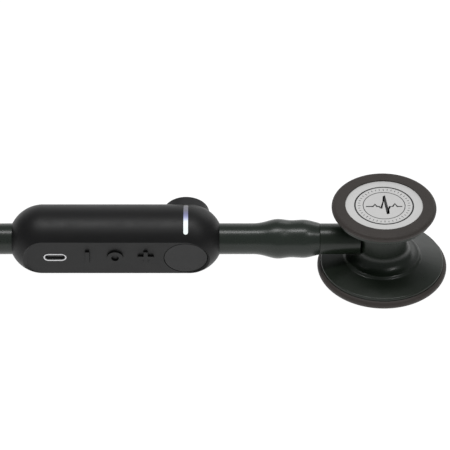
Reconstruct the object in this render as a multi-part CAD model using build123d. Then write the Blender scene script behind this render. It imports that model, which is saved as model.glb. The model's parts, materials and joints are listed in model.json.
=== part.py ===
from build123d import *
import math
import os

os.makedirs("parts", exist_ok=True)

# Digital stethoscope, lying on a table on the large side of its chestpiece.
# Millimetres. The origin is the centre of the large diaphragm's face, on the table, +Z up.
# The stem, the amplifier module and the hose lie along -X, and the headset lies beyond them.

# ---- Chestpiece: radii from its own axis, heights from the axis of the stem ----
stem_height = 13.7  # table to stem axis
large_rim_radius = 23.0
large_rim_edge = 1.6  # radius of the rim's round edge
large_flange_inset = 1.25  # from the rim's outside to the metal flange's
large_flange_height = -9.5  # top of the metal flange's edge
small_rim_radius = 18.45
small_rim_edge = 1.3
small_rim_height = 14.25  # widest circle of the small rim
small_flange_inset = 1.15
small_flange_height = 11.6  # underside of the metal flange's edge
badge_radius = 13.6
diaphragm_thickness = 0.4
neck_radius = 8.5
neck_flare = 4.3  # radius of the hollow curve at the neck's foot
neck_foot_height = -6.15
boss_radius = 13.4  # raised disc round the neck's foot
boss_height = -6.6
boss_step = 0.75
groove_height = 0.8  # of the grooves that the rims' beads snap into
snap_depth = 0.6  # how deep the rims' beads reach into the metal
seat_gap = 0.05  # between pieces that are snapped or pushed together
detent_bore = 0.85
detent_plug_radius = 1.25
detent_plug_low = 8.4

# ---- Stem and tubes ----
tube_radius = 5.5
tube_bore = 3.2
stem_radius = 5.45
stem_end = -22.4  # where the tube meets the stem's shoulder
stem_shoulder = -7.9  # where the stem's shoulder meets the neck
spigot_radius = 3.2
spigot_tip = 3.6
sound_bore = 1.6
running_gap = 0.05  # radial clearance of pieces that turn or slide in each other
nipple_length = 21.6
barb_places = (5.9, 14.7)  # from the stem's shoulder to each barb
barb_radius = 4.6
swell_radii = (6.78, 7.04)  # outside of the tube over each barb
swell_waist = 6.6

# ---- Module: a capsule round the tube's axis, with two flats ----
module_right = -56.5
module_length = 75.95
module_radius = 12.2
wall = 1.5
end_wall = 4.9  # from the module's end to its hollow, along the axis
flat_offset = 8.85  # from the axis to each flat
flat_tilt = 10.3  # degrees that the front flat looks below the horizontal
facet_left = 6.8  # from the module's left end to the flats
facet_height = 16.7
facet_corner = 5.8
facet_slope = 50.0  # degrees that the flats' left end leans outwards
facet_right_slope = 35.0
button_place = 13.18  # from the module's right end to both round buttons
front_button_radius = 7.6
power_button_radius = 8.2
power_button_out = 4.1
power_button_edge = 0.8
button_back = 7.2  # from the axis to the back of both round buttons
button_gap = 0.22
front_travel = 0.6
power_travel = 1.0
shaft_radius = 2.0
symbol_height = 6.15
symbol_width = 5.6
symbol_stroke = 1.45
symbol_out = 0.75  # how far the keys' symbols stand out of the front flat
symbol_lift = 0.8  # from the flat's middle line up to the symbols' middle
key_places = {"key_minus": -34.68, "key_mode": -24.92, "key_plus": -14.12}  # from the round button
key_travel = 0.25
key_gap = 0.07
port_place = -46.1  # from the round button
port_width = 7.04
port_height = 2.46
port_lift = 0.3
port_ring_wall = 0.42
port_ring_depth = 0.15
light_width = 1.6
light_front = 29.4  # degrees from straight up to the middle of the light's round front end
light_back = 32.0
light_thickness = 1.6

# ---- Inside the module, in the module's own x, q (up the flats) and p (out of the front) ----
board_level = 3.6
board_thickness = 0.8
board_width = 12.6
cover_length = 46.0
cover_height = 14.6
cover_thickness = 1.2
screw_spacing = 34.0
battery_size = (27.0, 12.0, 5.4)

# ---- Headset: it lies flat, its centre line at y = 0 ----
headset_height = 5.5
junction_length = 19.0
leg_radius = 4.0
leg_bore = 2.2
leg_half_gap = 4.5  # from the middle to each leg's pivot
leg_angle = 16.5  # degrees that each leg points outwards
leg_spread = 14.0  # degrees that each leg springs outwards
leg_length = 79.0
spread_gap = 0.3
ear_tube_radius = 3.1
ear_tube_bore = 2.1
ear_tube_in_leg = 17.0
ear_tip_radius = 5.5
ear_tip_length = 14.0

# ---- Hose from the module to the headset: corner points chosen by hand, x from the hose's start ----
hose_route = [
    (0.0, 0.0, 13.7),
    (-33.0, 0.0, 13.7),
    (-69.0, 3.0, 6.2),
    (-105.0, 14.0, 5.5),
    (-141.0, 24.0, 5.5),
    (-177.0, 24.5, 5.5),
    (-211.0, 11.5, 5.5),
    (-245.0, 0.0, 5.5),
    (-278.0, 0.0, 5.5),
]

large_rim_height = large_rim_edge - stem_height
large_flange_radius = large_rim_radius - large_flange_inset
small_flange_radius = small_rim_radius - small_flange_inset
detent_x = stem_shoulder + 2.4
button_x = module_right - button_place
module_left = module_right - module_length
cavity_left = module_left + end_wall
cavity_right = module_right - end_wall
inner_flat = flat_offset - wall + 0.1
junction_start = cavity_left + hose_route[-1][0]
module_plane = Plane(
    origin=(0, 0, stem_height),
    x_dir=(1, 0, 0),
    z_dir=(0, -math.cos(math.radians(flat_tilt)), -math.sin(math.radians(flat_tilt))),
)


# ---- Helpers ----
def save(node, shape):
    shape.label = node
    export_step(shape, f"parts/{node}.step")


def turned(profile):
    """A closed profile of (radius, height[, corner radius]) points, turned about Z."""
    points = [(radius, 0, height) for radius, height, *_ in profile]
    rounds = [corner[2] if len(corner) > 2 else 0 for corner in profile]
    return revolve(make_face(FilletPolyline(*points, radius=rounds, close=True)), axis=Axis.Z)


def cylinder(radius, low, high, x=0.0, y=0.0):
    return Pos(x, y, (low + high) / 2) * Cylinder(radius, high - low)


def block(x, y, z):
    """A box from three (low, high) pairs."""
    size = [high - low for low, high in (x, y, z)]
    middle = [(high + low) / 2 for low, high in (x, y, z)]
    return Pos(*middle) * Box(*size)


def on_stem(shape):
    """Z of the shape goes along +X on the stem's axis."""
    return Pos(0, 0, stem_height) * Rot(0, 90, 0) * shape


def in_module(shape):
    """x, q, p of the module to the model's frame."""
    return shape.moved(module_plane.location)


def pill(length, height, low, high, x=0.0, q=0.0):
    """A slot-shaped prism in the module's x and q, from low to high in p."""
    sketch = Pos(x, q, low) * SlotOverall(length, height)
    return extrude(sketch, high - low, dir=(0, 0, 1))


def coil(radius, wire, turns, low, high):
    """A compression spring between two levels."""
    path = Helix((high - low - wire) / turns, high - low - wire, radius)
    section = Plane(path @ 0, z_dir=path % 0) * Circle(wire / 2)
    return Pos(0, 0, low + wire / 2) * sweep(section, path=path)


# ---- Chestpiece ----
def chestpiece_body():
    """One turned metal piece: small head, neck, stepped foot and large head."""
    bead = large_flange_radius - 0.5
    under = large_rim_height - 0.2
    lower_groove = large_rim_height + 0.25
    lower_seat = lower_groove + groove_height
    top = small_rim_height + 0.3
    upper_bead = small_flange_radius - 0.8
    upper_groove = small_rim_height - 0.2
    upper_seat = upper_groove - groove_height
    body = turned([
        (0.0, under),
        (bead, under),
        (bead, lower_groove),
        (bead - snap_depth, lower_groove),
        (bead - snap_depth, lower_seat),
        (large_flange_radius, lower_seat, 0.15),
        (large_flange_radius, large_flange_height, 0.4),
        (boss_radius + 0.45, boss_height - boss_step, 1.0),
        (boss_radius - 0.35, boss_height, 0.9),
        (neck_radius, neck_foot_height, neck_flare),
        (neck_radius, 9.0, 3.0),
        (small_flange_radius, small_flange_height, 0.4),
        (small_flange_radius, upper_seat),
        (upper_bead - snap_depth, upper_seat),
        (upper_bead - snap_depth, upper_groove),
        (upper_bead, upper_groove),
        (upper_bead, top),
        (0.0, top),
    ])
    bell_depth, cup_depth, throat = -8.4, 9.6, 2.2
    mouth = large_flange_radius - 2.2
    cup = small_flange_radius - 2.1
    body -= turned([
        (0, under - 1), (mouth, under - 1), (mouth, under), (throat, bell_depth), (0, bell_depth)
    ])
    body -= turned([(0, cup_depth), (throat, cup_depth), (cup, top), (cup, top + 1), (0, top + 1)])
    body -= cylinder(sound_bore, bell_depth - 1, cup_depth + 1)
    body = Pos(0, 0, stem_height) * body
    body -= on_stem(cylinder(stem_radius + 0.15, -30, stem_shoulder))
    body -= on_stem(cylinder(spigot_radius + running_gap, stem_shoulder - 1, spigot_tip + 0.4))
    for radius, low in ((detent_bore, 3.0), (detent_plug_radius + seat_gap, detent_plug_low)):
        body -= Pos(0, 0, stem_height) * cylinder(radius, low, 12.6, detent_x)
    return body


def strip(radius, low, high):
    """A flat rectangle from the axis out to a radius."""
    return Pos(radius / 2, (low + high) / 2) * Rectangle(radius, high - low)


def rim(centre, edge, height, bites, lip=None):
    """A soft ring with a round edge. bites are (radius, low, high) of what it holds."""
    section = Pos(centre, height) * Circle(edge)
    if lip:
        section += strip(centre, *lip)
    for bite in bites:
        section -= strip(*bite)
    return Pos(0, 0, stem_height) * revolve(Plane.XZ * section, axis=Axis.Z)


def chestpiece():
    save("chestpiece_body", chestpiece_body())
    edge_top = large_rim_height - 0.3
    save("large_rim", rim(
        large_rim_radius - large_rim_edge, large_rim_edge, large_rim_height,
        [
            (large_flange_radius - 1.4, large_rim_height - 3, large_rim_height + 3),
            (
                large_flange_radius - 0.45,
                edge_top - diaphragm_thickness - seat_gap,
                large_rim_height + 0.3,
            ),
            (large_flange_radius - 0.45 - snap_depth, large_rim_height, large_rim_height + 3),
            (
                large_flange_radius + 2 * seat_gap,
                large_rim_height + 0.2 + groove_height,
                large_rim_height + 3,
            ),
        ],
    ))
    badge_edge = small_rim_height + 0.35
    badge_top = small_rim_height + small_rim_edge - 0.45
    save("small_rim", rim(
        small_rim_radius - small_rim_edge, small_rim_edge, small_rim_height,
        [
            (badge_radius + seat_gap, small_rim_height - 3, small_rim_height + 3),
            (small_flange_radius - 0.75 - snap_depth, small_rim_height - 3, small_rim_height),
            (
                small_flange_radius - 0.75,
                small_rim_height - 0.25,
                badge_edge + diaphragm_thickness + seat_gap,
            ),
            (
                small_flange_radius + seat_gap,
                small_rim_height - 3,
                small_rim_height - 0.15 - groove_height,
            ),
        ],
        (badge_edge + diaphragm_thickness, small_rim_height + small_rim_edge),
    ))
    face = -stem_height
    inner = large_flange_radius - 3.5
    outer = large_flange_radius - 0.6
    large = turned([
        (0, face),
        (inner, face, 0.3),
        (inner + 1.3, edge_top - diaphragm_thickness, 0.3),
        (outer, edge_top - diaphragm_thickness),
        (outer, edge_top),
        (inner + 1.0, edge_top, 0.2),
        (inner - 0.2, face + diaphragm_thickness, 0.2),
        (0, face + diaphragm_thickness),
    ])
    save("large_diaphragm", Pos(0, 0, stem_height) * large)
    badge = cylinder(small_flange_radius - 0.9, badge_edge, badge_edge + diaphragm_thickness - 0.02)
    badge += cylinder(badge_radius, badge_edge, badge_top)
    save("small_diaphragm", Pos(0, 0, stem_height) * badge)
    ball_radius = detent_bore - 0.1
    ball_centre = spigot_radius + 0.35
    save("detent_ball", Pos(detent_x, 0, stem_height + ball_centre) * Sphere(ball_radius))
    spring = coil(0.5, 0.2, 6, ball_centre + ball_radius + seat_gap, detent_plug_low - 0.1)
    save("detent_spring", Pos(detent_x, 0, stem_height) * spring)
    plug_top = detent_plug_low + 2.0
    plug = cylinder(detent_plug_radius, detent_plug_low, plug_top)
    plug -= block((-1.3, 1.3), (-0.2, 0.2), (plug_top - 0.6, plug_top + 0.1))
    save("detent_plug", Pos(detent_x, 0, stem_height) * plug)


# ---- Stem and lower tube ----
def stem():
    tip = stem_end - nipple_length
    places = [stem_end - place for place in barb_places]
    outside = [
        (stem_radius, stem_shoulder - 0.05, 0.3),
        (stem_radius, stem_end, 0.2),
        (tube_bore, stem_end),
    ]
    for x in places:
        outside += [
            (tube_bore, x + 1.0), (barb_radius, x + 0.6), (barb_radius - 0.2, x), (tube_bore, x - 3.2)
        ]
    outside += [(tube_bore, tip, 0.4), (0, tip)]
    groove = spigot_radius - 0.5
    inside = [
        (0, spigot_tip),
        (spigot_radius, spigot_tip),
        (spigot_radius, detent_x + 1.0),
        (groove, detent_x + 1.0),
        (groove, detent_x - 1.0),
        (spigot_radius, detent_x - 1.0),
        (spigot_radius, stem_shoulder - 0.05),
    ]
    shape = turned(inside + outside)
    shape -= cylinder(sound_bore, tip - 1, sound_bore)
    shape -= Rot(0, 90, 0) * cylinder(sound_bore, 0, 6)
    return on_stem(shape)


def lower_tube():
    left = cavity_right + 0.1
    crests = [stem_end - place for place in barb_places]
    swell = Spline(
        (tube_radius, 0, stem_end - 23.6),
        (swell_radii[1], 0, crests[1]),
        (swell_waist, 0, sum(crests) / 2),
        (swell_radii[0], 0, crests[0]),
        (tube_radius + 0.1, 0, stem_end - 0.05),
        tangents=[(0, 0, 1), (-0.25, 0, 1)],
    )
    outline = Polyline(
        swell @ 1, (0, 0, stem_end - 0.05), (0, 0, left), (tube_radius, 0, left), swell @ 0
    )
    tube = revolve(make_face(swell.edges() + outline.edges()), axis=Axis.Z)
    tube -= cylinder(tube_bore + seat_gap, left - 1, stem_end)
    for x in crests:
        bulge = barb_radius + seat_gap
        tube -= turned([
            (0, x + 1.2), (bulge, x + 1.2), (bulge, x - 0.6), (tube_bore, x - 3.6), (0, x - 3.6)
        ])
    tube -= Pos(-tube_radius, 0, stem_end - 1.2) * Box(2.0, 2.4, 2.4)
    return on_stem(Rot(0, 0, 180) * tube)


def stem_and_tube():
    save("stem", stem())
    save("lower_tube", lower_tube())


# ---- Module ----
def capsule(radius, left, right):
    """A cylinder along x that ends in half spheres."""
    shape = Pos((left + right) / 2, 0, 0) * Rot(0, 90, 0) * Cylinder(radius, right - left - 2 * radius)
    for x in (left + radius, right - radius):
        shape += Pos(x, 0, 0) * Sphere(radius)
    return shape


def flat(right, taper=0.0):
    """The space in front of a flat face, with two round corners at its left and a round right end."""
    half = facet_height / 2
    left = module_left + facet_left
    end = half - 0.01
    outline = FilletPolyline(
        (left, -half), (left, half), (right, half), (right, -half),
        radius=[facet_corner, facet_corner, end, end],
        close=True,
    )
    sketch = Pos(0, 0, flat_offset) * make_face(outline)
    return extrude(sketch, module_radius + 1 - flat_offset, dir=(0, 0, 1), taper=taper)


def round_end_slope(right):
    """The space over a flat's round right end, leaning outwards all round."""
    half = facet_height / 2
    rise = module_radius + 1 - flat_offset
    lean = rise * math.tan(math.radians(facet_right_slope))
    return Pos(right - half, 0, flat_offset + rise / 2) * Cone(half - 0.01, half + lean, rise)


def light_ring(outer, inner, grow=0.0):
    """A round-ended strip over the module's top."""
    width = light_width + 2 * grow
    ring = Rot(0, 90, 0) * (Cylinder(outer, width) - Cylinder(inner, width + 1))
    reach = 2 * outer
    corners = [(0, 0)]
    for angle in (light_front, (light_front - light_back) / 2, -light_back):
        corners.append((reach * math.cos(math.radians(angle)), reach * math.sin(math.radians(angle))))
    sector = extrude(Plane.YZ * make_face(Polyline(*corners, close=True)), width, both=True)
    for angle in (light_front, -light_back):
        sector += Rot(angle, 0, 0) * Rot(-90, 0, 0) * cylinder(width / 2, 0, reach)
    return Pos(button_x, 0, 0) * (ring & sector)


def symbol(node, height, grow=0.0):
    """The flat outline of a key's symbol, grown by a gap."""
    stroke = symbol_stroke + 2 * grow
    tall = symbol_height + 2 * grow
    wide = symbol_width + 2 * grow
    if node == "key_minus":
        shape = Rectangle(stroke, tall)
    elif node == "key_mode":
        shape = Ellipse(wide / 2, tall / 2)
    else:
        shape = Rectangle(stroke, tall) + Rectangle(wide, stroke)
    return Pos(button_x + key_places[node], symbol_lift, height) * shape


def port_x():
    return button_x + port_place


def housing():
    shell = capsule(module_radius, module_left, module_right)
    flat_right = button_x + front_button_radius + button_gap + 0.08
    for side in (0, 180):
        shell -= Rot(side, 0, 0) * flat(flat_right)
        shell -= Rot(side, 0, 0) * flat((flat_right + module_left) / 2, -facet_slope)
        shell -= Rot(side, 0, 0) * round_end_slope(flat_right)
    hollow = capsule(module_radius - wall, module_left + wall, module_right - wall)
    hollow &= block((cavity_left, cavity_right), (-20, 20), (-inner_flat, inner_flat))
    shell -= hollow
    for low, high in ((module_left - 5, cavity_left + 1), (cavity_right - 1, module_right + 5)):
        shell -= Rot(0, 90, 0) * cylinder(tube_radius + seat_gap, low, high)
    well = 6.0
    shell -= cylinder(front_button_radius + button_gap, well, 20, button_x)
    shell -= cylinder(power_button_radius + button_gap, -20, -well, button_x)
    for node in key_places:
        shell -= extrude(symbol(node, inner_flat - 1, key_gap), 5, dir=(0, 0, 1))
    wide, tall = port_outside()
    shell -= pill(wide, tall, flat_offset - port_ring_depth - 0.02, 20, port_x(), port_lift)
    shell -= pill(port_width + 0.9, port_height + 0.9, 6, 20, port_x(), port_lift)
    cover_x = cover_centre()
    shell -= pill(cover_length, cover_height, -20, cover_thickness - flat_offset, cover_x)
    shell -= pill(cover_length - 2.4, cover_height - 2.4, -20, -6, cover_x)
    shell -= light_ring(module_radius + 1, module_radius - 3, 0.02)
    return shell


def port_outside():
    """Width and height of the ring round the charging port."""
    return port_width + 2 * port_ring_wall + 0.2, port_height + 3 * port_ring_wall


def cover_centre():
    return (module_left + button_x - power_button_radius) / 2 + 2.2


def shell_pieces():
    save("housing", in_module(housing()))
    x = cover_centre()
    gap = 0.06
    level = cover_thickness - flat_offset
    cover = pill(cover_length - 2 * gap, cover_height - 2 * gap, -flat_offset, level - 0.3, x)
    heads = [x - screw_spacing / 2, x + screw_spacing / 2]
    screws = []
    for place in heads:
        cover -= cylinder(0.95, -10, 0, place)
        cover -= cylinder(1.65, -10, -flat_offset + 0.6, place)
        screw = cylinder(0.8, -flat_offset + 0.4, -4.4, place)
        screw += cylinder(1.5, -flat_offset + 0.05, -flat_offset + 0.55, place)
        screw -= block((place - 1.0, place + 1.0), (-0.15, 0.15), (-10, -flat_offset + 0.3))
        screw -= block((place - 0.15, place + 0.15), (-1.0, 1.0), (-10, -flat_offset + 0.3))
        screws.append(screw)
    save("rear_cover", in_module(cover))
    save("cover_screws", in_module(Compound(screws)))
    gasket = pill(cover_length - 0.4, cover_height - 0.4, level - 0.28, level, x)
    gasket -= pill(cover_length - 2.2, cover_height - 2.2, level - 1, level + 1, x)
    save("cover_gasket", in_module(gasket))
    light = light_ring(module_radius, module_radius - light_thickness)
    save("light_guide", in_module(light))
    save("led_board", in_module(block((button_x - 1.4, button_x + 1.4), (8.3, 9.1), (-3, 3))))


def round_button(node, side, radius, face, travel):
    """A round button, its clip and its spring. side is 1 in front, -1 behind."""
    flip = Rot(0 if side == 1 else 180, 0, 0)
    guide_top = board_level + board_thickness
    switch_top = 2.4
    button = cylinder(radius, button_back, face)
    edges = button.edges().filter_by(GeomType.CIRCLE).sort_by(Axis.Z)
    button = fillet(edges[-1], power_button_edge if node == "power_button" else 0.15)
    button += cylinder(shaft_radius, switch_top + travel + 0.02, button_back)
    button -= cylinder(shaft_radius + 0.5, 2.8, 3.3) - cylinder(shaft_radius - 0.4, 2.8, 3.3)
    clip = cylinder(shaft_radius + 0.8, 2.83, 3.27) - cylinder(shaft_radius - 0.35, 2, 4)
    clip -= block((0, 5), (-0.8, 0.8), (2, 4))
    spring = coil(shaft_radius + 0.7, 0.4, 3, guide_top + 0.02, button_back - 0.02)
    place = Pos(button_x, 0, 0) * flip
    save(node, in_module(place * button))
    save(node + "_clip", in_module(place * clip))
    save(node + "_spring", in_module(place * spring))


def buttons():
    round_button("front_button", 1, front_button_radius, flat_offset, front_travel)
    round_button("power_button", -1, power_button_radius, flat_offset + power_button_out, power_travel)
    domes = []
    for node, place in key_places.items():
        x = button_x + place
        rise = flat_offset + symbol_out - inner_flat + 0.2
        key = extrude(symbol(node, inner_flat - 0.2), rise, dir=(0, 0, 1))
        if node == "key_mode":
            island = Pos(x, symbol_lift, flat_offset) * Ellipse(
                symbol_width / 2 - symbol_stroke, symbol_height / 2 - symbol_stroke
            )
            key -= extrude(island, 2, dir=(0, 0, 1))
        key += block((x - 3.6, x + 3.6), (-4.3, 4.3), (inner_flat - 0.8, inner_flat - 0.1))
        dome_top = board_level + board_thickness + 0.6
        key += cylinder(0.9, dome_top + key_travel + 0.02, inner_flat - 0.5, x)
        save(node, in_module(key))
        dome = cylinder(2.0, board_level + board_thickness, dome_top, x)
        domes.append(fillet(dome.edges().sort_by(Axis.Z)[-1], 0.4))
    save("key_switches", in_module(Compound(domes)))


def electronics():
    top = board_level + board_thickness
    half = board_width / 2
    board = block((cavity_left + 5.4, cavity_right - 2.4), (-half, half), (board_level, top))
    board -= cylinder(shaft_radius + running_gap, 0, 10, button_x)
    save("circuit_board", in_module(board))
    bracket = block((button_x - 6.5, cavity_right - 2.4), (-half, half), (-top, -board_level))
    bracket -= cylinder(shaft_radius + running_gap, -10, 0, button_x)
    save("button_bracket", in_module(bracket))
    x = port_x()
    lip = flat_offset - port_ring_depth - 0.04
    socket = pill(port_width + 0.8, port_height + 0.8, top, lip, x, port_lift)
    socket -= pill(port_width, port_height, top + 0.4, 10, x, port_lift)
    socket += block((x - 2.7, x + 2.7), (port_lift - 0.4, port_lift + 0.4), (top + 0.2, flat_offset - 0.8))
    save("charging_socket", in_module(socket))
    wide, tall = [size - 0.04 for size in port_outside()]
    ring = pill(wide, tall, flat_offset - port_ring_depth, flat_offset + 0.05, x, port_lift)
    ring -= pill(port_width + 0.2, port_height + 0.3, 5, 12, x, port_lift)
    save("port_ring", in_module(ring))
    chassis = block((cavity_left + 5.4, button_x + 1.6), (-6.9, 6.9), (-0.8, 0.8))
    for place in (-screw_spacing / 2, screw_spacing / 2):
        post = cover_centre() + place
        chassis += cylinder(2.2, -flat_offset + cover_thickness + 0.1, -0.7, post)
        chassis -= cylinder(0.82, -10, -1.2, post)
    save("chassis", in_module(chassis))
    long, wide, thick = battery_size
    middle = cover_centre()
    battery = block((middle - long / 2, middle + long / 2), (-wide / 2, wide / 2), (-1.1 - thick, -1.1))
    battery = fillet(battery.edges().filter_by(Axis.X), 1.2)
    save("battery", in_module(battery))
    for node, side in (("front_switch", 1), ("power_switch", -1)):
        low, high = sorted((0.8 * side, 2.4 * side))
        save(node, in_module(block((button_x - 1.0, button_x + 1.0), (-1.0, 1.0), (low, high))))


def acoustics():
    def fitting(face, side):
        """A flanged nipple. It stands out of the module's end on the given side."""
        flange = cylinder(tube_radius + 0.4, *sorted((face, face - 2.0 * side)))
        nipple = cylinder(tube_bore, *sorted((face - side, face + 11.0 * side)))
        bore = cylinder(sound_bore, -200, 0)
        return on_stem(flange + nipple - bore)

    save("chest_connector", fitting(cavity_right, 1))
    save("headset_connector", fitting(cavity_left, -1))
    microphone = cylinder(2.7, cavity_right - 4.6, cavity_right - 2.05)
    save("microphone", on_stem(microphone))
    driver = cylinder(4.4, cavity_left + 2.05, cavity_left + 4.6)
    save("speaker", on_stem(driver))


# ---- Hose ----
def swept(path, start, radius, bore=0.0):
    direction = path.tangent_at(0)
    section = Plane(start, z_dir=direction) * Circle(radius)
    tube = sweep(section, path=path)
    if bore:
        tube -= sweep(Plane(start, z_dir=direction) * Circle(bore), path=path)
    return tube


def corner_radii(route):
    """The largest arc that each corner's two runs allow."""
    radii = []
    for before, corner, after in zip(route, route[1:], route[2:]):
        arrive, leave = Vector(*corner) - Vector(*before), Vector(*after) - Vector(*corner)
        half_turn = math.radians(arrive.get_angle(leave)) / 2
        radii.append(0.45 * min(arrive.length, leave.length) / math.tan(half_turn))
    return radii


def hose():
    route = [(cavity_left + x, y, z) for x, y, z in hose_route]
    radii = corner_radii(route)
    path = FilletPolyline(*route, radius=radii)
    tube = swept(path, route[0], tube_radius)
    print("hose length", round(path.length, 1), "radii", [round(radius) for radius in radii])
    print("hose volume over section times length", tube.volume / (math.pi * tube_radius**2 * path.length))
    tube -= on_stem(cylinder(tube_bore + seat_gap, cavity_left - 11.5, cavity_left + 1))
    save("upper_tube", tube)


# ---- Headset ----
def leg_frame(side, spread=0.0):
    """Z along a leg from its pivot, X up. spread is how far it is sprung outwards, in degrees."""
    angle = math.radians(leg_angle + spread)
    pivot = (junction_start - junction_length, side * leg_half_gap, headset_height)
    return Plane(origin=pivot, x_dir=(0, 0, 1), z_dir=(-math.cos(angle), side * math.sin(angle), 0))


def leaf_path():
    """The hairpin line of the leaf spring, on the inner side of both legs."""
    inner = leg_bore + 0.9
    points = []
    for side in (1, -1):
        frame = leg_frame(side)
        along = frame.z_dir
        inwards = Vector(along.Y, -along.X, 0) * -side
        if inwards.Y * side > 0:
            inwards = inwards * -1
        ends = [frame.origin + along * reach + inwards * inner for reach in (45.0, 1.0)]
        points += ends if side == 1 else ends[::-1]
    back = junction_start - junction_length + 9.0
    middle = [Vector(back, 1.4, headset_height), Vector(back, -1.4, headset_height)]
    return points[:2] + middle + points[2:]


def leaf(thickness, height):
    line = FilletPolyline(*leaf_path(), radius=1.0)
    flat = Pos(0, 0, -height / 2) * offset(line, thickness / 2, side=Side.BOTH)
    return extrude(make_face(flat.edges()), height, dir=(0, 0, 1))


def junction():
    start, end = junction_start, junction_start - junction_length
    wide = 2 * (leg_half_gap + leg_radius) + 2.4
    across = {"z_dir": (-1, 0, 0), "x_dir": (0, 1, 0)}
    round_end = Plane(origin=(start, 0, headset_height), **across) * Circle(tube_radius)
    wide_end = Plane(origin=(end, 0, headset_height), **across) * SlotOverall(wide, 2 * tube_radius - 0.2)
    shape = loft([round_end.face(), wide_end.face()])
    for side in (1, -1):
        shape -= Pos(*leg_frame(side).origin) * Sphere(leg_radius + spread_gap)
        for share in (0.0, 0.5, 1.0):
            reach = cylinder(leg_radius + spread_gap, 0, 3 * leg_radius)
            shape -= reach.moved(leg_frame(side, share * leg_spread).location)
    return shape


def leg(side):
    shape = cylinder(leg_radius, 0, leg_length) + Sphere(leg_radius)
    shape -= cylinder(leg_bore, -2, leg_length - ear_tube_in_leg)
    shape -= cylinder(ear_tube_radius + running_gap, leg_length - ear_tube_in_leg, leg_length + 1)
    return shape.moved(leg_frame(side).location)


def ear_route(side):
    """Corner points of an ear tube, from inside its leg to the ear tip."""
    frame = leg_frame(side)
    start = frame.origin + frame.z_dir * (leg_length - ear_tube_in_leg + 0.1)
    bow = frame.origin + frame.z_dir * 123.0
    shoulder = Vector(bow.X - 62.0, side * 36.5, headset_height)
    end = Vector(shoulder.X - 15.0, side * 18.0, headset_height)
    return [start, bow, shoulder, end]


def ear_tube(side):
    route = ear_route(side)
    path = FilletPolyline(*route, radius=[60.0, 16.0])
    return swept(path, route[0], ear_tube_radius, ear_tube_bore)


def ear_tip(side):
    """A soft bud pushed over the end of an ear tube, Z outwards."""
    *_, shoulder, end = ear_route(side)
    overlap = 6.0
    profile = [
        (0, -overlap),
        (ear_tube_radius + 1.0, -overlap, 0.4),
        (ear_tip_radius, -0.5, 2.5),
        (ear_tip_radius - 0.4, ear_tip_length - overlap - 4.5, 2.0),
        (2.2, ear_tip_length - overlap, 1.2),
        (0, ear_tip_length - overlap),
    ]
    bud = turned(profile)
    bud -= cylinder(ear_tube_radius + seat_gap, -overlap - 1, 0.05)
    bud -= cylinder(1.3, -1, 20)
    return bud.moved(Plane(origin=end, z_dir=end - shoulder, x_dir=(0, 0, 1)).location)


def headset():
    slot = leaf(0.7, 5.1)
    save("leaf_spring", leaf(0.6, 5.0))
    save("y_junction", junction() - slot)
    for name, side in (("left", -1), ("right", 1)):
        save(f"{name}_leg_tube", leg(side) - slot)
        save(f"{name}_ear_tube", ear_tube(side))
        save(f"{name}_ear_tip", ear_tip(side))


chestpiece()
stem_and_tube()
shell_pieces()
buttons()
electronics()
acoustics()
hose()
headset()
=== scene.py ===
import json
import math

import bmesh
import bpy
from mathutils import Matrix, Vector


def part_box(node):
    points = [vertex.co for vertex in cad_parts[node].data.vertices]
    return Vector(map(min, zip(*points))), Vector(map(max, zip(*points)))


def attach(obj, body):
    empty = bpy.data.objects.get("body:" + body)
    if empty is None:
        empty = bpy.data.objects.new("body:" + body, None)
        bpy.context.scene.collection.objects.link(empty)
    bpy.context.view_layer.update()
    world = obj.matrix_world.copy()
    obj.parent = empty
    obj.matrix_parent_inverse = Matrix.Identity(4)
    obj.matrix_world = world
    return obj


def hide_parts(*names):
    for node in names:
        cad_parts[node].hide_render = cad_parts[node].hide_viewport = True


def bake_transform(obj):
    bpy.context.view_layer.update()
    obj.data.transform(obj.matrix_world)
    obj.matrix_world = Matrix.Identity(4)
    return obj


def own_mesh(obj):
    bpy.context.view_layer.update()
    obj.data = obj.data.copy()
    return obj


# A digital stethoscope on a white table. Everything is in metres, in the CAD model's own frame.
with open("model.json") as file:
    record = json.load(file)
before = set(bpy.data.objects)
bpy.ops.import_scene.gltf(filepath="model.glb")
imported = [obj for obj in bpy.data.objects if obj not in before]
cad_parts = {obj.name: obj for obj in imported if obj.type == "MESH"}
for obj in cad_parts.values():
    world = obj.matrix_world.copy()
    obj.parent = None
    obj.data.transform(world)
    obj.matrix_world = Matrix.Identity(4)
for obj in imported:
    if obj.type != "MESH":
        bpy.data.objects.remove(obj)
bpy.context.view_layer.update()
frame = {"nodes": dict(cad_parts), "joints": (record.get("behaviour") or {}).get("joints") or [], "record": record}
nodes = frame["nodes"]
MM = 0.001


def joint_named(name):
    return next(joint for joint in frame["joints"] if joint["name"] == name)


# ---------------------------------------------------------------- shared places and sizes
STEM_LOW, STEM_HIGH = (corner.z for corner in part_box("stem"))
STEM_Z = STEM_LOW + (STEM_HIGH - STEM_LOW) / 2
TUBE_R = 5.5 * MM
HEADSET_Z = TUBE_R
SMOOTH_BELOW = 32

# ---------------------------------------------------------------- camera and light
PITCH = math.radians(39.44)
DISTANCE = 1.170
LENS = 264.32
SENSOR_WIDTH = 36
FAR_CLIP = 20
TARGET = Vector((-55.88 * MM, 3.08 * MM, STEM_Z + 3.75 * MM))

WORLD_COLOUR = (0.80, 0.81, 0.83, 1)
WORLD_STRENGTH = 0.28
MIDDLE = (-0.05, 0.0, 0.02)
HEAD = (0, 0, 0.01)
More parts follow.
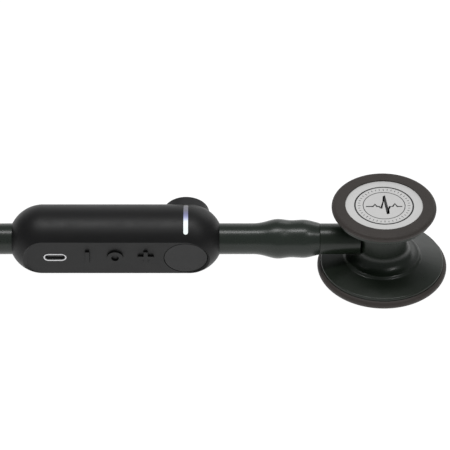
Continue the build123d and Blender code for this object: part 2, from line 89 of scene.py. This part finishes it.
# name, place, aim, size, power. The softbox aims a little towards +Y, which lays its long side along X.
LIGHTS = [
    ("top_softbox", (-0.12, 0.0, 0.75), (-0.12, 0.01, 0.02), (0.55, 0.14), 2.6),
    ("back_card", (-0.05, 1.5, 0.4), MIDDLE, (3.0, 0.8), 4.6),
    ("back_right", (0.42, 0.90, 0.50), HEAD, (0.80, 0.45), 1.2),
    ("right_spot", (0.30, -0.22, 0.70), HEAD, (0.10, 0.10), 0.7),
]
FLOOR_SIZE = 6


def camera():
    data = bpy.data.cameras.new("camera")
    data.sensor_width = SENSOR_WIDTH
    data.lens = LENS
    data.clip_end = FAR_CLIP
    shot = bpy.data.objects.new("camera", data)
    shot.location = TARGET + DISTANCE * Vector((0, -math.cos(PITCH), math.sin(PITCH)))
    shot.rotation_euler = (math.pi / 2 - PITCH, 0, 0)
    bpy.context.scene.collection.objects.link(shot)
    bpy.context.scene.camera = shot


def area_light(name, place, aim, size, power):
    data = bpy.data.lights.new(name, "AREA")
    data.shape = "RECTANGLE"
    data.size, data.size_y = size
    data.energy = power
    lamp = bpy.data.objects.new(name, data)
    lamp.location = place
    lamp.rotation_euler = (Vector(aim) - Vector(place)).to_track_quat("-Z", "Y").to_euler()
    bpy.context.scene.collection.objects.link(lamp)


def studio():
    scene = bpy.context.scene
    scene.view_settings.view_transform = "Standard"
    world = bpy.data.worlds.new("studio")
    world.use_nodes = True
    background = world.node_tree.nodes["Background"]
    background.inputs["Color"].default_value = WORLD_COLOUR
    background.inputs["Strength"].default_value = WORLD_STRENGTH
    scene.world = world
    for light in LIGHTS:
        area_light(*light)
    bpy.ops.mesh.primitive_plane_add(size=FLOOR_SIZE, location=(0, 0, 0))
    floor = bpy.context.object
    floor.name = "floor"
    paper = bpy.data.materials.new("white_paper")
    paper.use_nodes = True
    shader = paper.node_tree.nodes["Principled BSDF"]
    shader.inputs["Base Color"].default_value = (0.1, 0.1, 0.1, 1)
    shader.inputs["Roughness"].default_value = 0.9
    shader.inputs["Specular IOR Level"].default_value = 0.0
    shader.inputs["Emission Color"].default_value = (1, 1, 1, 1)
    shader.inputs["Emission Strength"].default_value = 1.0
    floor.data.materials.append(paper)


# ---------------------------------------------------------------- materials
class Nodes:
    """A small helper that strings shader nodes together."""

    def __init__(self, name):
        self.material = bpy.data.materials.new(name)
        self.material.use_nodes = True
        self.tree = self.material.node_tree
        self.shader = self.tree.nodes["Principled BSDF"]

    def add(self, kind, **values):
        node = self.tree.nodes.new(kind)
        for key, value in values.items():
            if key in node.inputs:
                node.inputs[key].default_value = value
            else:
                setattr(node, key, value)
        return node

    def link(self, out, into):
        self.tree.links.new(out, into)

    def set(self, **values):
        for key, value in values.items():
            self.shader.inputs[key.replace("_", " ")].default_value = value

    def position(self):
        return self.add("ShaderNodeTexCoord").outputs["Object"]

    def noise(self, scale, detail=4.0, roughness=0.6):
        node = self.add("ShaderNodeTexNoise", Scale=scale, Detail=detail, Roughness=roughness)
        self.link(self.position(), node.inputs["Vector"])
        return node.outputs["Fac"]

    def ramp(self, fac, stops):
        node = self.add("ShaderNodeValToRGB")
        points = node.color_ramp.elements
        while len(points) < len(stops):
            points.new(0.5)
        for point, (place, colour) in zip(points, stops):
            point.position = place
            point.color = (*colour, 1)
        self.link(fac, node.inputs["Fac"])
        return node.outputs["Color"]

    def bump(self, height, distance):
        node = self.add("ShaderNodeBump", Strength=1.0, Distance=distance)
        self.link(height, node.inputs["Height"])
        return node.outputs["Normal"]


def grey(value):
    return (value, value, value)


def moulded(name, colour, rough, grain, depth, mottle, specular=0.5, coat=0.0):
    """A plastic, rubber or coated surface: fine grain, soft blotches of colour and of gloss."""
    n = Nodes(name)
    blotch = n.noise(60, 3, 0.5)
    dark = tuple(c * (1 - mottle) for c in colour)
    light = tuple(c * (1 + mottle) for c in colour)
    n.link(n.ramp(blotch, [(0.3, dark), (0.7, light)]), n.shader.inputs["Base Color"])
    fine = n.noise(grain, 3, 0.6)
    gloss = n.noise(220, 5, 0.65)
    n.link(n.ramp(gloss, [(0.3, grey(rough[0])), (0.7, grey(rough[1]))]), n.shader.inputs["Roughness"])
    n.link(n.bump(fine, depth), n.shader.inputs["Normal"])
    n.set(Specular_IOR_Level=specular)
    if coat:
        n.set(Coat_Weight=coat, Coat_Roughness=0.3)
    return n.material


def metal(name, colour, rough=(0.22, 0.34), grain=900):
    n = Nodes(name)
    n.set(Metallic=1.0)
    dark = tuple(c * 0.85 for c in colour)
    n.link(n.ramp(n.noise(grain, 4, 0.6), [(0.3, dark), (0.7, colour)]), n.shader.inputs["Base Color"])
    gloss = n.noise(400, 4, 0.6)
    n.link(n.ramp(gloss, [(0.3, grey(rough[0])), (0.7, grey(rough[1]))]), n.shader.inputs["Roughness"])
    n.link(n.bump(n.noise(grain * 2, 3, 0.6), 0.000008), n.shader.inputs["Normal"])
    return n.material


def light_guide():
    """Lit white at its front end, lavender towards the top and grey where it is no longer lit."""
    n = Nodes("light")
    split = n.add("ShaderNodeSeparateXYZ")
    n.link(n.position(), split.inputs["Vector"])
    low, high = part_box("light_guide")
    along = n.add("ShaderNodeMapRange")
    n.link(split.outputs["Y"], along.inputs["Value"])
    along.inputs["From Min"].default_value = low.y
    along.inputs["From Max"].default_value = high.y
    lit = n.ramp(along.outputs["Result"], [
        (0.0, (0.88, 0.95, 0.94)), (0.31, (0.82, 0.89, 0.92)), (0.36, (0.56, 0.60, 0.80)),
        (0.42, (0.33, 0.35, 0.58)), (0.48, (0.20, 0.21, 0.40)), (0.57, (0.10, 0.10, 0.23)),
        (0.70, (0.03, 0.03, 0.07)), (1.0, (0.0, 0.0, 0.005)),
    ])
    body = n.ramp(along.outputs["Result"], [
        (0.0, grey(0.05)), (0.45, grey(0.08)), (0.7, grey(0.19)), (1.0, grey(0.19)),
    ])
    n.link(body, n.shader.inputs["Base Color"])
    n.link(lit, n.shader.inputs["Emission Color"])
    n.link(n.ramp(n.noise(800), [(0.3, grey(0.3)), (0.7, grey(0.45))]), n.shader.inputs["Roughness"])
    n.set(Emission_Strength=1.0)
    return n.material


# name, colour, roughness from and to, grain, depth of the grain, mottle, specular level
MOULDED = [
    ("head_metal", (0.0115, 0.0172, 0.011), (0.27, 0.33), 5000, 0.000004, 0.06, 0.42),
    ("tubing", (0.0205, 0.0268, 0.0215), (0.25, 0.31), 2500, 0.000004, 0.06, 0.38),
    ("casing", (0.0058, 0.0058, 0.006), (0.43, 0.50), 4000, 0.000008, 0.06, 0.30),
    ("button", (0.022, 0.022, 0.0225), (0.46, 0.54), 4000, 0.000012, 0.06, 0.3),
    ("soft_rim", (0.045, 0.038, 0.034), (0.50, 0.60), 3000, 0.000018, 0.08, 0.3),
    ("badge", (0.69, 0.685, 0.675), (0.38, 0.52), 6000, 0.00001, 0.05, 0.5),
    ("membrane", (0.06, 0.06, 0.062), (0.30, 0.42), 2500, 0.00001, 0.10, 0.5),
    ("port_trim", (0.85, 0.85, 0.86), (0.3, 0.4), 2000, 0.000005, 0.03, 0.5),
    ("board", (0.02, 0.13, 0.06), (0.35, 0.5), 1500, 0.00002, 0.2, 0.5),
    ("cell", (0.40, 0.41, 0.45), (0.3, 0.45), 1200, 0.00003, 0.1, 0.5),
    ("inner_plastic", (0.09, 0.09, 0.09), (0.45, 0.6), 3000, 0.00002, 0.12, 0.3),
    ("tip_rubber", (0.018, 0.018, 0.019), (0.45, 0.55), 2500, 0.000015, 0.08, 0.5),
    ("ink", (0.012, 0.012, 0.012), (0.4, 0.5), 3000, 0.000004, 0.05, 0.5),
]


def finish_materials():
    made = {row[0]: moulded(*row) for row in MOULDED}
    made["ear_metal"] = moulded(
        "ear_metal", (0.016, 0.020, 0.018), (0.26, 0.34), 4000, 0.000005, 0.05, coat=0.4
    )
    made["fastener"] = metal("fastener", (0.52, 0.52, 0.53))
    made["contact"] = metal("contact", (0.60, 0.59, 0.56))
    made["light"] = light_guide()
    return made


def dress_nodes(finishes):
    for entry in frame["record"]["subparts"]:
        piece = nodes[entry["node"]]
        piece.data.materials.clear()
        key = entry["node"].startswith("key_") and entry["material_slot"] == "button"
        piece.data.materials.append(finishes["casing" if key else entry["material_slot"]])
        smooth(piece)


def smooth(piece, angle=SMOOTH_BELOW):
    """Round faces shade smoothly, and corners sharper than angle stay crisp."""
    mesh = piece.data
    mesh.shade_smooth()
    mesh.set_sharp_from_angle(angle=math.radians(angle))


def piece_from(name, work, finish, body):
    mesh = bpy.data.meshes.new(name)
    bmesh.ops.recalc_face_normals(work, faces=work.faces)
    work.to_mesh(mesh)
    work.free()
    made = bpy.data.objects.new(name, mesh)
    bpy.context.scene.collection.objects.link(made)
    mesh.materials.append(finish)
    mesh.shade_smooth()
    if body:
        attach(made, body)
    return made


# button, the side of the stem's line that its spring sits on, and its travel
BUTTONS = (("front", 1, 0.6 * MM), ("power", -1, 1.0 * MM))


def springs():
    """Each round button's return spring gets a mesh of its own."""
    for name, side, travel in BUTTONS:
        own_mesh(nodes[f"{name}_button_spring"])


# ---------------------------------------------------------------- hose
HOSE_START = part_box("upper_tube")[1].x
HOSE_ROUTE = [
    (0.0, 0.0, 13.7),
    (-33.0, 0.0, 13.7),
    (-69.0, 3.0, 6.2),
    (-105.0, 14.0, 5.5),
    (-141.0, 24.0, 5.5),
    (-177.0, 24.5, 5.5),
    (-211.0, 11.5, 5.5),
    (-245.0, 0.0, 5.5),
    (-278.0, 0.0, 5.5),
]


def hose(finish):
    data = bpy.data.curves.new("upper_hose", "CURVE")
    data.dimensions = "3D"
    spline = data.splines.new("NURBS")
    spline.points.add(len(HOSE_ROUTE) - 1)
    start = Vector((HOSE_START, 0, 0))
    for point, place in zip(spline.points, HOSE_ROUTE):
        point.co = (*(start + Vector(place) * MM), 1)
    spline.order_u = 3
    spline.use_endpoint_u = True
    spline.resolution_u = 24
    data.bevel_depth = TUBE_R
    data.bevel_resolution = 12
    data.materials.append(finish)
    piece = bpy.data.objects.new("upper_hose", data)
    bpy.context.scene.collection.objects.link(piece)
    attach(piece, "module")
    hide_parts("upper_tube")


# ---------------------------------------------------------------- flexible legs of the headset
JUNCTION_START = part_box("y_junction")[1].x
LEG_R = 4.0 * MM
LEG_LENGTH = 79.0 * MM
PARTING = 0.01 * MM
LEAF_SHARE = 0.65
FORK_STEPS = 24
LEG_STEPS = 60
LEG_SHARP = 50
# the moulding's swelling near its end
SWELL_HEIGHT = 0.28 * MM
SWELL_BACK = 9 * MM
SWELL_SPREAD = 6 * MM
# in mm, how far back from the leg's end each last cross-section lies, and its radius, into the bore
LEG_END = [(0.45, 4.0), (0.12, 3.86), (0.0, 3.6), (0.0, 3.3), (0.15, 3.14), (17.0, 3.14)]


def ring(work, centre, across, up, radius, side, count=48):
    """One cross-section, cut off at the object's middle plane so that the two legs part there."""
    corners = []
    for step in range(count):
        angle = 2 * math.pi * step / count
        place = centre + radius * (math.cos(angle) * across + math.sin(angle) * up)
        place.y = side * max(place.y * side, PARTING)
        corners.append(work.verts.new(place))
    return corners


def skin(work, rings):
    for one, other in zip(rings, rings[1:]):
        for k in range(len(one)):
            work.faces.new((one[k - 1], one[k], other[k], other[k - 1]))


def leg(name, side, finish):
    """One leg of the headset with its half of the Y, in one moulding. Its shape curves outward where the Y forks.
    """
    pivot = Vector(joint_named(f"{name}_spread")["pos_m"])
    along = Vector(joint_named(f"{name}_swivel")["axis"]).normalized()
    slope = abs(along.y / along.x)
    start = JUNCTION_START
    reach = start - pivot.x
    up = Vector((0, 0, 1))
    work = bmesh.new()
    rings = []
    for step in range(FORK_STEPS + 1):
        t = step / FORK_STEPS
        spread = abs(pivot.y) * (3 * t * t - 2 * t ** 3) + slope * reach * (t ** 3 - t * t)
        lean = (abs(pivot.y) * 6 * t * (1 - t) + slope * reach * (3 * t * t - 2 * t)) / reach
        ease = t * t * (3 - 2 * t)
        centre = Vector((start - reach * t, side * spread, pivot.z))
        across = Vector((side * lean, 1, 0)).normalized()
        rings.append(ring(work, centre, across, up, TUBE_R + (LEG_R - TUBE_R) * ease, side))
    across = Vector((-along.y, along.x, 0))
    if across.y < 0:
        across = -across
    for step in range(1, LEG_STEPS):
        far = LEG_LENGTH * step / LEG_STEPS
        swell = SWELL_HEIGHT * math.exp(-(((far - LEG_LENGTH + SWELL_BACK) / SWELL_SPREAD) ** 2))
        rings.append(ring(work, pivot + far * along, across, up, LEG_R + swell, side))
    for back, radius in LEG_END:
        centre = pivot + (LEG_LENGTH - back * MM) * along
        rings.append(ring(work, centre, across, up, radius * MM, side))
    skin(work, rings)
    work.faces.new(rings[0])
    work.faces.new(rings[-1])
    piece = piece_from(f"{name}_leg", work, finish, None)
    smooth(piece, LEG_SHARP)
    bend_with_leg(piece)
    hidden = [f"{name}_leg_tube"] + (["y_junction"] if side < 0 else [])
    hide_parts(*hidden)


def bend_with_leg(piece):
    """The piece's placement is baked into its mesh."""
    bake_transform(piece)


def leaf_half(name, side, finish):
    """Half of the hairpin leaf spring, cut at the middle plane and squashed in height, low enough to stay in the
    moulding.
    """
    source = nodes["leaf_spring"]
    work = bmesh.new()
    work.from_mesh(source.data)
    work.transform(source.matrix_world)
    for vertex in work.verts:
        vertex.co.z = HEADSET_Z + (vertex.co.z - HEADSET_Z) * LEAF_SHARE
    everything = work.verts[:] + work.edges[:] + work.faces[:]
    cut = bmesh.ops.bisect_plane(
        work, geom=everything, plane_co=(0, side * PARTING, 0), plane_no=(0, -side, 0),
        clear_outer=True,
    )
    rim = [part for part in cut["geom_cut"] if isinstance(part, bmesh.types.BMEdge)]
    bmesh.ops.holes_fill(work, edges=rim)
    piece = piece_from(f"{name}_leaf", work, finish, None)
    smooth(piece)
    bend_with_leg(piece)
    if side < 0:
        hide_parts("leaf_spring")


# ---------------------------------------------------------------- printed emblem on the small diaphragm
BADGE_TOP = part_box("small_diaphragm")[1].z
INK_HEIGHT = 0.025 * MM
INK_SUNK = 0.01 * MM
PULSE_LIFT = 0.005 * MM
# the rest of the emblem is in mm
OUTER_RING = (9.98, 10.52)
INNER_RING = (7.24, 7.50)
MARKS = 40
MARK_HALF_WIDTH = 0.11
MARK_OUTER = 9.25
MARK_INNER = 8.55
LONG_MARK_INNER = 8.25
LONG_MARK_EVERY = 5
# the pulse line's corners and its width at each
PULSE = [
    (-6.4, -0.5, 0.45), (-3.9, -0.5, 0.6), (-3.2, 0.7, 0.7), (-2.5, -0.5, 0.65), (-1.7, -0.5, 0.65),
    (-1.1, -1.6, 0.8), (0.1, 5.4, 1.05), (1.3, -4.6, 1.05), (2.0, -0.5, 0.7), (3.0, -0.5, 0.6),
    (3.8, 1.1, 0.7), (4.6, -0.5, 0.6), (6.4, -0.5, 0.45),
]


def prism(work, outline, low, high):
    """A closed flat prism between two heights, from points in the plane."""
    bottom = [work.verts.new((x, y, low)) for x, y in outline]
    top = [work.verts.new((x, y, high)) for x, y in outline]
    work.faces.new(bottom[::-1])
    work.faces.new(top)
    for k in range(len(outline)):
        work.faces.new((bottom[k - 1], bottom[k], top[k], top[k - 1]))


def printed_ring(work, inner, outer, low, high, count=128):
    turns = [2 * math.pi * k / count for k in range(count)]
    rings = [
        [work.verts.new((radius * math.cos(turn), radius * math.sin(turn), height)) for turn in turns]
        for radius, height in ((inner, low), (outer, low), (outer, high), (inner, high))
    ]
    skin(work, rings + rings[:1])


def brush_line(work, points, widths, low, high):
    """A line of changing width through points, as a flat prism."""
    left, right = [], []
    for k, (x, y) in enumerate(points):
        before = Vector(points[max(k - 1, 0)])
        after = Vector(points[min(k + 1, len(points) - 1)])
        along = (after - before).normalized()
        side = Vector((-along.y, along.x)) * widths[k] / 2
        left.append((x + side.x, y + side.y))
        right.append((x - side.x, y - side.y))
    for k in range(len(points) - 1):
        prism(work, [left[k], left[k + 1], right[k + 1], right[k]], low, high)


def emblem(ink):
    """Two rings, short marks between them and a pulse line."""
    low, high = BADGE_TOP - INK_SUNK, BADGE_TOP + INK_HEIGHT
    work = bmesh.new()
    for inner, outer in (OUTER_RING, INNER_RING):
        printed_ring(work, inner * MM, outer * MM, low, high)
    for k in range(MARKS):
        angle = 2 * math.pi * k / MARKS
        out = Vector((math.cos(angle), math.sin(angle)))
        half = Vector((-out.y, out.x)) * MARK_HALF_WIDTH * MM
        inner = (MARK_INNER if k % LONG_MARK_EVERY else LONG_MARK_INNER) * MM
        outer = MARK_OUTER * MM
        corners = ((inner, -1), (outer, -1), (outer, 1), (inner, 1))
        prism(work, [tuple(out * r + s * half) for r, s in corners], low, high)
    piece_from("emblem_rings", work, ink, "chestpiece")
    points = [(x * MM, y * MM) for x, y, _ in PULSE]
    widths = [width * MM for *_, width in PULSE]
    work = bmesh.new()
    brush_line(work, points, widths, low, high + PULSE_LIFT)
    piece_from("emblem_pulse", work, ink, "chestpiece")


# ---------------------------------------------------------------- making the model
camera()
studio()
finishes = finish_materials()
dress_nodes(finishes)
springs()
hose(finishes["tubing"])
for name, side in (("left", -1), ("right", 1)):
    leg(name, side, finishes["tubing"])
    leaf_half(name, side, finishes["fastener"])
emblem(finishes["ink"])
